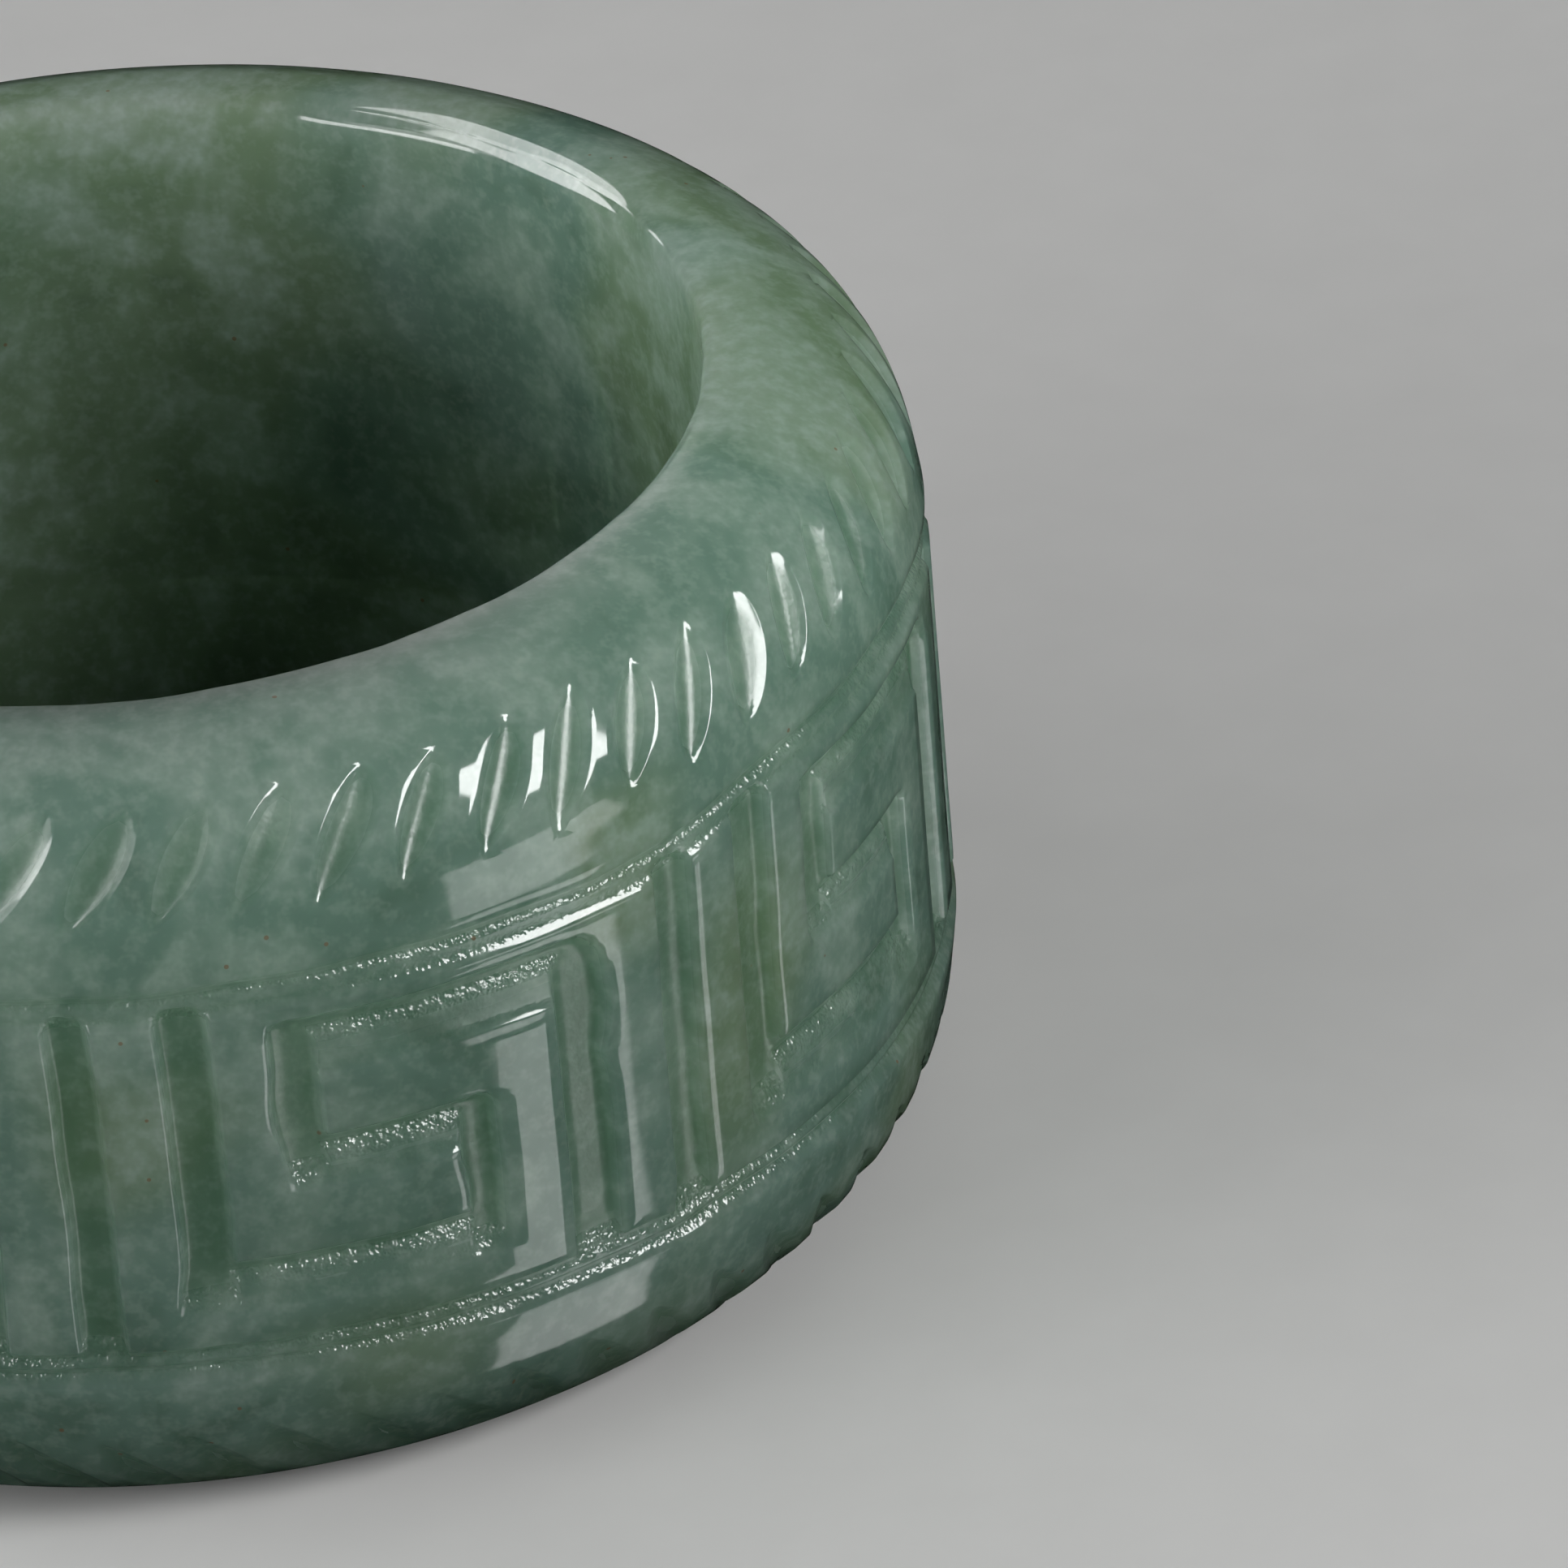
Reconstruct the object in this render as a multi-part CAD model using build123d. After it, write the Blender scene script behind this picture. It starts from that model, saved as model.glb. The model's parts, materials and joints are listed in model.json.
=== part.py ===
from build123d import *
import os
from collections import namedtuple
from math import atan2, cos, degrees, hypot, radians, sin, tan, tau

# A band ring carved from one piece of jade, in millimetres.
# It stands on one end: the origin is the middle of that end, +Z runs along the bore
# and -Y is the front. Angles go round +Z from +X.

# Turned band
BORE_DIAMETER = 19.9           # finger hole
WALL_THICKNESS = 3.55          # from the bore to the outer wall
BAND_HEIGHT = 14.35            # from end to end
SHOULDER_HEIGHT = 3.4          # from an end to the edge of the carved girdle
RIM_ROUND = 0.2                # bore's edge
LAND_ROUND = 0.8               # where the flat end turns into the bevel
SHOULDER_ROUND = 2.9           # where the bevel turns into the shoulder's side

# Shoulder corners, as shares of the wall's thickness and of the shoulder's height
LAND_REACH = 0.29              # flat end's outer edge, out from the bore
CORNER_REACH = 0.9             # bevel's outer edge, out from the bore
CORNER_DROP = 0.27             # bevel's outer edge, down from the end

# Grooves: a burr leaves sloping walls, so the floor is a share of the width
FLOOR_SHARE = 0.25
UPPER_BORDER_WIDTH = 0.7
LOWER_BORDER_WIDTH = 0.65
BORDER_DEPTH = 0.2
BORDER_REACH = 0.75            # of a border's half-width, for an upright that opens into it
STROKE_WIDTH = 1.0
STROKE_DEPTH = 0.28

# Key fret
FRET_LENGTH = 10.6             # one unit along the band, fitted to a whole number of units
FRET_START = -97.7             # angle of the first divider

# Leaf-shaped notches on both shoulders
NOTCH_WIDTH = 0.8
NOTCH_DEPTH = 0.3
NOTCH_GAP = 0.43               # between one notch and the next, round the band
NOTCH_LEAN = 30.0              # degrees off the upright, the top to the right
NOTCH_START = -88.7            # angle of the first notch
NOTCH_SEAT = 0.6               # share of the way round the shoulder, from bevel to side
GOUGE_LENGTH = 3.0             # tip to tip of the cutter, which leaves a shorter notch

# How far a cutter stands out of the surface that it cuts
OVERRUN = 1.0

# The fret is one line that goes down, in, up, back, up, out and down, beside a divider.
# Uprights stand at a share of a unit's length, bars at a share of the height from the
# middle of the lower border to the middle of the upper one.
Upright = namedtuple("Upright", "at foot head")
Bar = namedtuple("Bar", "at start end")

DIVIDER, OUTER_LEFT, INNER_LEFT, INNER_RIGHT, OUTER_RIGHT = 0.0, 0.177, 0.341, 0.624, 0.811
LOWER_BORDER, BOTTOM, MIDDLE, TOP, UPPER_BORDER = 0.0, 0.204, 0.513, 0.834, 1.0

UPRIGHTS = [
    Upright(at=DIVIDER, foot=LOWER_BORDER, head=UPPER_BORDER),
    Upright(at=OUTER_LEFT, foot=BOTTOM, head=UPPER_BORDER),
    Upright(at=INNER_RIGHT, foot=BOTTOM, head=MIDDLE),
    Upright(at=INNER_LEFT, foot=MIDDLE, head=TOP),
    Upright(at=OUTER_RIGHT, foot=LOWER_BORDER, head=TOP),
]
BARS = [
    Bar(at=BOTTOM, start=OUTER_LEFT, end=INNER_RIGHT),
    Bar(at=MIDDLE, start=INNER_LEFT, end=INNER_RIGHT),
    Bar(at=TOP, start=INNER_LEFT, end=OUTER_RIGHT),
]

# Sizes that follow
bore_radius = BORE_DIAMETER / 2
band_radius = bore_radius + WALL_THICKNESS
land_radius = bore_radius + LAND_REACH * WALL_THICKNESS
corner_radius = bore_radius + CORNER_REACH * WALL_THICKNESS
corner_height = BAND_HEIGHT - CORNER_DROP * SHOULDER_HEIGHT
shoulder_foot = BAND_HEIGHT - SHOULDER_HEIGHT
lower_border_middle = SHOULDER_HEIGHT + LOWER_BORDER_WIDTH / 2
upper_border_middle = shoulder_foot - UPPER_BORDER_WIDTH / 2
unit_count = round(tau * band_radius / FRET_LENGTH)
unit_angle = 360 / unit_count

# The shoulder's round turns the bevel's slope into the side's, within their two lengths
bevel_slope = atan2(BAND_HEIGHT - corner_height, corner_radius - land_radius)
side_slope = atan2(corner_height - shoulder_foot, band_radius - corner_radius)
half_turn = (side_slope - bevel_slope) / 2
corner_slope = bevel_slope + half_turn
bevel_length = hypot(BAND_HEIGHT - corner_height, corner_radius - land_radius)
side_length = hypot(corner_height - shoulder_foot, band_radius - corner_radius)
shoulder_round = min(SHOULDER_ROUND, 0.85 * min(bevel_length, side_length) / tan(half_turn))
round_reach = shoulder_round / cos(half_turn)
round_centre_radius = corner_radius - round_reach * sin(corner_slope)
round_centre_height = corner_height - round_reach * cos(corner_slope)

# The notches' middles lie on that round
notch_slope = bevel_slope + NOTCH_SEAT * 2 * half_turn
notch_radius = round_centre_radius + shoulder_round * sin(notch_slope)
notch_height = round_centre_height + shoulder_round * cos(notch_slope)
notch_pitch = NOTCH_WIDTH / cos(radians(NOTCH_LEAN)) + NOTCH_GAP
notch_count = round(tau * notch_radius / notch_pitch)


def turned_band():
    """The ring before carving: flat ends, bevelled shoulders and a straight wall."""
    upper = [
        (bore_radius, BAND_HEIGHT, RIM_ROUND),
        (land_radius, BAND_HEIGHT, LAND_ROUND),
        (corner_radius, corner_height, shoulder_round),
        (band_radius, shoulder_foot, 0),
    ]
    lower = [(radius, BAND_HEIGHT - height, turn) for radius, height, turn in reversed(upper)]
    corners = upper + lower
    outline = FilletPolyline(
        [(radius, height) for radius, height, _ in corners],
        radius=[turn for _, _, turn in corners],
        close=True,
    )
    return revolve(Plane.XZ * make_face(outline), Axis.Z)


def groove_ring(bottom, top, width, depth):
    """A groove all the way round, its walls sloping in to a narrower floor."""
    slope = (1 - FLOOR_SHARE) / 2 * width / depth
    flare = OVERRUN * slope
    draft = depth * slope
    outer, floor = band_radius + OVERRUN, band_radius - depth
    section = Polyline(
        (outer, bottom - flare),
        (floor, bottom + draft),
        (floor, top - draft),
        (outer, top + flare),
        close=True,
    )
    return revolve(Plane.XZ * make_face(section), Axis.Z)


def groove_sector(start, end, width, depth):
    """A wedge between two angles, as tall as the band, its sides sloping like a groove's."""
    draft = (1 - FLOOR_SHARE) / 2 * width
    half_angle = radians(end - start) / 2
    edge = Vector(band_radius * cos(half_angle), band_radius * sin(half_angle))
    slant = Vector(depth, draft).rotate(Axis.Z, degrees(half_angle))
    inner = edge - slant * (1 + FLOOR_SHARE / 2)
    outer = edge + slant * ((band_radius + 2 * OVERRUN - edge.X) / slant.X)
    wedge = Polyline(
        (outer.X, outer.Y), (inner.X, inner.Y), (inner.X, -inner.Y), (outer.X, -outer.Y), close=True
    )
    return Rot(Z=(start + end) / 2) * extrude(make_face(wedge), BAND_HEIGHT)


def stroke(start, end, bottom, top):
    """One straight cut of the fret, with four sloping walls, between angles and heights."""
    ring = groove_ring(bottom, top, STROKE_WIDTH, STROKE_DEPTH)
    return ring & groove_sector(start, end, STROKE_WIDTH, STROKE_DEPTH)


def fret_height(share):
    """Height of a bar, or of an upright's end, from its share of the fret."""
    return lower_border_middle + share * (upper_border_middle - lower_border_middle)


def fret_unit():
    """Cutters for one divider and the folded line beside it, from angle 0 on."""
    half_width = STROKE_WIDTH / 2
    half_angle = degrees(half_width / band_radius)
    open_ends = {
        LOWER_BORDER: BORDER_REACH * LOWER_BORDER_WIDTH / 2,
        UPPER_BORDER: BORDER_REACH * UPPER_BORDER_WIDTH / 2,
    }
    uprights = [
        stroke(
            upright.at * unit_angle - half_angle,
            upright.at * unit_angle + half_angle,
            fret_height(upright.foot) - open_ends.get(upright.foot, half_width),
            fret_height(upright.head) + open_ends.get(upright.head, half_width),
        )
        for upright in UPRIGHTS
    ]
    bars = [
        stroke(
            bar.start * unit_angle - half_angle,
            bar.end * unit_angle + half_angle,
            fret_height(bar.at) - half_width,
            fret_height(bar.at) + half_width,
        )
        for bar in BARS
    ]
    return uprights + bars


def fret_cutters():
    """The fret unit, repeated all the way round."""
    strokes = fret_unit()
    turns = [FRET_START + unit * unit_angle for unit in range(unit_count)]
    return [Rot(Z=turn) * cut for turn in turns for cut in strokes]


def border_cutters():
    """The two plain grooves that frame the fret."""
    upper_foot, lower_head = shoulder_foot - UPPER_BORDER_WIDTH, SHOULDER_HEIGHT + LOWER_BORDER_WIDTH
    return [
        groove_ring(upper_foot, shoulder_foot, UPPER_BORDER_WIDTH, BORDER_DEPTH),
        groove_ring(SHOULDER_HEIGHT, lower_head, LOWER_BORDER_WIDTH, BORDER_DEPTH),
    ]


def gouge():
    """The notch cutter: a body of revolution with a tip at each end, along X."""
    half_length = GOUGE_LENGTH / 2
    belly = (NOTCH_WIDTH**2 / 4 + NOTCH_DEPTH**2) / (2 * NOTCH_DEPTH)
    side = ThreePointArc((-half_length, 0), (0, belly), (half_length, 0))
    blank = revolve(make_face([side, Line((half_length, 0), (-half_length, 0))]), Axis.X)
    return Pos(0, 0, belly - NOTCH_DEPTH) * blank


def notch_cutters():
    """A row of gouges round the upper shoulder and its mirror image on the lower one."""
    outward = Vector(sin(notch_slope), 0, cos(notch_slope))
    uphill = Vector(-cos(notch_slope), 0, sin(notch_slope))
    lean = radians(NOTCH_LEAN)
    along = uphill * cos(lean) + Vector(0, 1, 0) * sin(lean)
    seat = Plane(Vector(notch_radius, 0, notch_height), x_dir=along, z_dir=outward)
    cutter = seat.location * gouge()
    turns = [NOTCH_START + 360 * step / notch_count for step in range(notch_count)]
    upper = [Rot(Z=turn) * cutter for turn in turns]
    return upper + [mirror(notch, Plane.XY.offset(BAND_HEIGHT / 2)) for notch in upper]


def jade_band():
    """The finished ring: one solid with its borders, fret and notches cut in."""
    return turned_band() - border_cutters() - fret_cutters() - notch_cutters()


band = jade_band()
band.label = "jade_band"
os.makedirs("parts", exist_ok=True)
export_step(band, "parts/jade_band.step")
print("jade_band:", len(band.solids()), "solid,", round(band.volume, 1), "mm3")
print("fret units:", unit_count, "of", round(tau * band_radius / unit_count, 2), "mm")
print("notches in a row:", notch_count)
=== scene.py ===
# %% [markdown]
# A band ring carved from one piece of jade stands on its end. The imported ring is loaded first, as a
# fixed frame: it gives the bore, the wall and the height, so that nothing here is fitted by eye.

# %% Load the frame
import json
from collections import namedtuple
from math import cos, pi, radians, sin, tan, tau

import bmesh
import bpy
import numpy as np
from mathutils import Matrix, Quaternion, Vector, noise


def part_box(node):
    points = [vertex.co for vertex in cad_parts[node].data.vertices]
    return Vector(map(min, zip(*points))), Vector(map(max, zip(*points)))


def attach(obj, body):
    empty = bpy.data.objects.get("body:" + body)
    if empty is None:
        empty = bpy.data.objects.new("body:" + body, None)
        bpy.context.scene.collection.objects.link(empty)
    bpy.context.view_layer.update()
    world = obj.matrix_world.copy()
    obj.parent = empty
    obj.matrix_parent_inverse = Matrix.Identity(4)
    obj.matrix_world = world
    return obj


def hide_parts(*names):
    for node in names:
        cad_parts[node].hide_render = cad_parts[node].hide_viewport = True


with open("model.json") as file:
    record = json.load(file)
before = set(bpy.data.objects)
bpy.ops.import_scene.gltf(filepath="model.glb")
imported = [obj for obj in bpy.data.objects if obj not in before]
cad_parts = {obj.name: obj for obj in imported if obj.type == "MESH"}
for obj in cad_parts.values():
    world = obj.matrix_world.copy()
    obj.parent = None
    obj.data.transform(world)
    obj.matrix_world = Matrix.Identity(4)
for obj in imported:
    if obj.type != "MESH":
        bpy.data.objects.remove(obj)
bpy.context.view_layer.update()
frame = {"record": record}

_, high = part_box("jade_band")

MM = 0.001
bores = [mount for mount in frame["record"]["mounts"] if mount["kind"] == "bore"]
bore_radius = bores[0]["dims"]["r_mm"] * MM
band_radius = high.x
band_height = high.z
wall = band_radius - bore_radius
print(f"bore {bore_radius / MM:.2f} mm, wall {wall / MM:.2f} mm, height {band_height / MM:.2f} mm")

# %% [markdown]
# The ring's turned outline is a flat end, a bevel, a rounded shoulder and a straight wall. A lathe
# would do for that alone, but the carving has to be cut into it afterwards. So the outline is kept
# as a line that is measured by its length: a row of the mesh is a distance along that line, and a
# cut pushes the row inwards along the line's own normal.

# %% The turned outline
SHOULDER_HEIGHT = 3.4 * MM
RIM_ROUND = 0.2 * MM           # the bore's edge
LAND_ROUND = 0.8 * MM          # where the flat end turns into the bevel
SHOULDER_ROUND = 2.9 * MM      # where the bevel turns into the shoulder's side
LAND_REACH = 0.29              # flat end's outer edge, as a share of the wall
CORNER_REACH = 0.9             # bevel's outer edge, as a share of the wall
CORNER_DROP = 0.27             # how far the bevel falls, as a share of the shoulder's height
ARC_STEPS = 24

shoulder_foot = band_height - SHOULDER_HEIGHT
middle = band_height / 2
corner_radius = bore_radius + CORNER_REACH * wall
corner_height = band_height - CORNER_DROP * SHOULDER_HEIGHT


def rounded(corners):
    """Points along a broken line whose corners are turned into arcs of the given radii."""
    points = [Vector(corners[0][:2])]
    for before, (radius, height, turn), after in zip(corners, corners[1:], corners[2:]):
        corner = Vector((radius, height))
        back = (Vector(before[:2]) - corner).normalized()
        ahead = (Vector(after[:2]) - corner).normalized()
        if turn == 0:
            points.append(corner)
            continue
        half = back.angle(ahead) / 2
        centre = corner + (back + ahead).normalized() * turn / sin(half)
        start, end = (corner + way * turn / tan(half) - centre for way in (back, ahead))
        for step in range(ARC_STEPS + 1):
            points.append(centre + turn * start.slerp(end, step / ARC_STEPS))
    return points + [Vector(corners[-1][:2])]


upper_half = rounded([
    (bore_radius, middle, 0),
    (bore_radius, band_height, RIM_ROUND),
    (bore_radius + LAND_REACH * wall, band_height, LAND_ROUND),
    (corner_radius, corner_height, SHOULDER_ROUND),
    (band_radius, shoulder_foot, 0),
    (band_radius, middle, 0),
])
lower_half = [Vector((point.x, band_height - point.y)) for point in reversed(upper_half)]
outline = np.array([point[:] for point in upper_half + lower_half[1:]])
outline_steps = np.hypot(*np.diff(outline, axis=0).T)
outline_run = np.concatenate([[0], np.cumsum(outline_steps)])
outline_length = outline_run[-1]
half_length = outline_length / 2
rim = middle - RIM_ROUND


def on_outline(run):
    """Radius and height at a distance along the outline, from the middle of the bore."""
    run = np.mod(run, outline_length)
    return np.interp(run, outline_run, outline[:, 0]), np.interp(run, outline_run, outline[:, 1])


def outward(run, reach=0.02 * MM):
    """The outline's normal there, which points out of the stone."""
    radius_ahead, height_ahead = on_outline(run + reach)
    radius_back, height_back = on_outline(run - reach)
    along_radius, along_height = radius_ahead - radius_back, height_ahead - height_back
    length = np.hypot(along_radius, along_height)
    return -along_height / length, along_radius / length


print(f"outline {outline_length / MM:.2f} mm round, {2 * rim / MM:.2f} mm of it straight bore")

# %% [markdown]
# The key fret is one folded line between two plain borders, cut with a burr. A carver lays it out
# as uprights and bars, so two small tables hold it: places are shares of one unit's length and of
# the height between the borders, and each cut has its own width, since a hand tool wanders. An
# upright has two steep walls, a flat floor and a rough ramp at its foot, where the burr went in. A
# bar was cut with the tool tilted, so its valley lies near its upper lip and a rough facet under
# that looks up.

# %% The fret and its borders
FRET_UNITS = 8
FRET_START = -7.7              # degrees from the front to the first divider
STROKE_DEPTH = 0.28 * MM
BORDER_DEPTH = 0.2 * MM
WALL_REACH = 0.15 * MM         # from a cut's lip to the foot of its wall
FOOT_RAMP = 0.5 * MM           # from an upright's lower end to its full depth
END_ROUND = 0.35 * MM          # corners of the cuts
LIP = 0.02 * MM                # from a lip to the mesh lines beside it
FACET_REACH = 0.03             # how far each way a slope is taken, as a share of the section's width
STEEPEST = 2.5                 # the slope, in depths per width, that counts as looking up fully
FACET_FADE = 0.3               # how much deeper an upright must be to end a bar's facet, as a share
GROUND_FROM, GROUND_TO = 0.3, 0.9    # a foot's ramp is rough between these shares of its depth

Upright = namedtuple("Upright", "at foot head width head_round")
Bar = namedtuple("Bar", "at start end width end_round")
Border = namedtuple("Border", "foot head section")
Fold = namedtuple("Fold", "place depth")

DIVIDER, OUTER_LEFT, INNER_LEFT, INNER_RIGHT, OUTER_RIGHT = 0.0, 0.177, 0.341, 0.624, 0.811
LOWER, BOTTOM, MIDDLE, TOP, UPPER = 0.0, 0.204, 0.513, 0.834, 1.0

UPRIGHTS = [
    Upright(at=DIVIDER, foot=LOWER, head=UPPER, width=0.84 * MM, head_round=END_ROUND),
    Upright(at=OUTER_LEFT, foot=BOTTOM, head=UPPER, width=0.96 * MM, head_round=END_ROUND),
    Upright(at=INNER_RIGHT, foot=BOTTOM, head=MIDDLE, width=0.72 * MM, head_round=END_ROUND),
    Upright(at=INNER_LEFT, foot=MIDDLE, head=TOP, width=0.88 * MM, head_round=END_ROUND),
    Upright(at=OUTER_RIGHT, foot=LOWER, head=TOP, width=1.04 * MM, head_round=0.8 * MM),
]
BARS = [
    Bar(at=BOTTOM, start=OUTER_LEFT, end=INNER_RIGHT, width=0.98 * MM, end_round=END_ROUND),
    Bar(at=MIDDLE, start=INNER_LEFT, end=INNER_RIGHT, width=1.0 * MM, end_round=END_ROUND),
    Bar(at=TOP, start=INNER_LEFT, end=OUTER_RIGHT, width=1.16 * MM, end_round=0.8 * MM),
]

# Sections from the upper lip to the lower one: shares of the width, and of the depth
BAR_SECTION = [
    Fold(0, 0), Fold(0.12, 0.7), Fold(0.26, 1),
    Fold(0.41, 0.55), Fold(0.93, 0.25), Fold(1, 0),
]
TWIN_SECTION = [
    Fold(0, 0), Fold(0.2, 1), Fold(0.42, 0.5), Fold(0.5, 0.48),
    Fold(0.6, 0.95), Fold(0.84, 0.35), Fold(1, 0),
]
WORN_SECTION = [
    Fold(0, 0), Fold(0.2, 0.12), Fold(0.42, 1), Fold(0.62, 0.4),
    Fold(0.8, 0.65), Fold(0.93, 0.2), Fold(1, 0),
]
LOWER_WIDTH, UPPER_WIDTH = 0.68 * MM, 0.7 * MM
WORN_LIP = 0.2 * MM            # how far the upper border's lip is worn back into the shoulder
LOWER_BORDER = Border(SHOULDER_HEIGHT, SHOULDER_HEIGHT + LOWER_WIDTH, TWIN_SECTION)
UPPER_BORDER = Border(shoulder_foot - UPPER_WIDTH, shoulder_foot + WORN_LIP, WORN_SECTION)
BORDERS = [LOWER_BORDER, UPPER_BORDER]

unit_length = tau * band_radius / FRET_UNITS
low_line = SHOULDER_HEIGHT + LOWER_WIDTH / 2
high_line = shoulder_foot - UPPER_WIDTH / 2
bar_width = {bar.at: bar.width for bar in BARS}
upright_width = {upright.at: upright.width for upright in UPRIGHTS}


def smooth(value, start, end):
    """0 before start and 1 after end, with a soft turn at both."""
    share = np.clip((value - start) / (end - start), 0, 1)
    return share * share * (3 - 2 * share)


def fret_height(share):
    """The height of a bar, or of an upright's end."""
    return low_line + share * (high_line - low_line)


def within_lap(value, lap):
    """A distance round the band or the outline, brought to within half a lap of zero."""
    return np.mod(value + lap / 2, lap) - lap / 2


def inside_corner(side, end, turn):
    """Distance in from the edge of a cut whose corner is rounded."""
    in_corner = (side < turn) & (end < turn)
    return np.where(in_corner, turn - np.hypot(turn - side, turn - end), np.minimum(side, end))


def wall_shape(inside):
    """How deep a cut is, as a share, at a distance in from its edge."""
    return np.clip(inside / WALL_REACH, 0, 1)


def end_shape(side, end, turn):
    """How deep a bar's end is cut, as a share: its rounded corners hold it back near the lips."""
    corner = turn - np.sqrt(turn**2 - np.clip(turn - side, 0, turn) ** 2)
    return wall_shape(end - corner)


def section_depth(section, place):
    """Depth of a folded section, and how steeply it looks up there, from 0 to 1."""
    places, depths = zip(*section)
    above, below = (np.interp(place + step, places, depths) for step in (-FACET_REACH, FACET_REACH))
    slope = (above - below) / (2 * FACET_REACH)
    return np.interp(place, places, depths), np.clip(slope / STEEPEST, 0, 1)


def fret_depth(across, height):
    """Depth of the fret, and how much of it is a facet that looks up, along one unit and up it."""
    depth = np.zeros_like(across)
    facet = np.zeros_like(across)
    for bar in BARS:
        start = bar.start * unit_length - upright_width[bar.start] / 2
        end = bar.end * unit_length + upright_width[bar.end] / 2
        below_lip = fret_height(bar.at) + bar.width / 2 - height
        side = np.minimum(below_lip, bar.width - below_lip)
        folded, looks_up = section_depth(BAR_SECTION, below_lip / bar.width)
        ends = np.minimum(
            end_shape(side, across - start, END_ROUND),
            end_shape(side, end - across, bar.end_round),
        )
        depth = np.maximum(depth, folded * ends)
        facet = np.maximum(facet, looks_up * ends)
    for upright in UPRIGHTS:
        half = upright.width / 2
        foot = fret_height(upright.foot) - bar_width.get(upright.foot, 0) / 2
        head = fret_height(upright.head) + bar_width.get(upright.head, 0) / 2
        side = half - abs(within_lap(across - upright.at * unit_length, unit_length))
        inside = np.minimum(
            inside_corner(side, height - foot, END_ROUND),
            inside_corner(side, head - height, upright.head_round),
        )
        ramp = np.clip((height - foot) / FOOT_RAMP, 0, 1)
        own = np.minimum(wall_shape(inside), ramp)
        facet = facet * (1 - smooth(own - depth, 0, FACET_FADE))
        ground = (own > depth) & (own > GROUND_FROM)
        facet = np.where(ground, np.maximum(facet, 1 - smooth(ramp, GROUND_TO, 1)), facet)
        depth = np.maximum(depth, own)
    return STROKE_DEPTH * depth, facet


def border_depth(height):
    """Depth of the two plain grooves, and how much of them looks up."""
    depth = np.zeros_like(height)
    facet = np.zeros_like(height)
    for border in BORDERS:
        place = (border.head - height) / (border.head - border.foot)
        folded, looks_up = section_depth(border.section, place)
        depth = np.maximum(depth, BORDER_DEPTH * folded)
        facet = np.maximum(facet, looks_up)
    return depth, facet


print(f"{FRET_UNITS} fret units of {unit_length / MM:.2f} mm, each of {len(UPRIGHTS + BARS)} cuts")

# %% [markdown]
# A cut looks sharp only where the mesh has a line on its edge. An even grid would need millions of
# faces for that, so the grid is uneven: lines lie at both sides of every lip, on the walls and in
# the folds, and the lines that are left over fill the widest gaps.

# %% The mesh lines
UNIT_COLUMNS = 75
NOTCH_COLUMNS = 10
COLUMNS = UNIT_COLUMNS * FRET_UNITS
WALL_ROWS = 66
FOOT_TURN = 0.03 * MM          # from a wall's foot to the mesh lines beside it
STEEP = 0.4                    # a facet with more fall than this gets a line of its own


def upright_lines(centre, half_width):
    """Mesh lines across one upright: on both sides of its lips and of its walls' feet."""
    insets = [-LIP, LIP, WALL_REACH - FOOT_TURN, WALL_REACH + FOOT_TURN]
    return [centre] + [centre + side * (half_width - inset) for side in (-1, 1) for inset in insets]


def section_lines(section, foot, head):
    """Mesh lines across one folded section: at its lips, on its folds and on what looks up."""
    places = [crease.place for crease in section[1:-1]]
    places += [
        (upper.place + lower.place) / 2
        for upper, lower in zip(section[1:], section[2:-1])
        if upper.depth - lower.depth > STEEP
    ]
    folds = [head - place * (head - foot) for place in places]
    return folds + [edge + side * LIP for edge in (foot, head) for side in (-1, 1)]


def fill_gaps(lines, count):
    """More lines, each halfway across the widest gap that is left."""
    lines = sorted(lines)
    while len(lines) < count:
        gaps = np.diff(lines)
        widest = int(np.argmax(gaps))
        lines.insert(widest + 1, lines[widest] + gaps[widest] / 2)
    return np.array(lines)


def unit_columns():
    """Distances along one fret unit, from the left lip of its divider."""
    lines = [
        line
        for upright in UPRIGHTS
        for line in upright_lines(upright.at * unit_length, upright.width / 2)
    ]
    return fill_gaps(lines + [min(lines) + unit_length], UNIT_COLUMNS + 1)[:-1]


def wall_rows():
    """Heights on the wall, from the lower border's foot to the upper one's head."""
    lines = []
    for bar in BARS:
        centre, half = fret_height(bar.at), bar.width / 2
        lines += section_lines(BAR_SECTION, centre - half, centre + half)
    for border in BORDERS:
        lines += section_lines(border.section, border.foot, border.head)
    return fill_gaps(lines, WALL_ROWS)


unit_lines = unit_columns()
# The outline runs down the wall, and is half round at mid height
wall_runs = half_length + middle - wall_rows()[::-1]
fret_turns = np.concatenate([
    FRET_START + (unit + unit_lines / unit_length) * 360 / FRET_UNITS for unit in range(FRET_UNITS)
])
print(f"{COLUMNS} columns and {len(wall_runs)} rows on the wall")

# %% [markdown]
# Both shoulders carry a row of leaf-shaped notches that lean like the strands of a rope. Each notch
# takes ten of the mesh's columns, which draw together at its tips and follow its outline, and the
# columns lean with it. Every notch is cut by eye, so length, width, lean and place all vary a bit.

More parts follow.
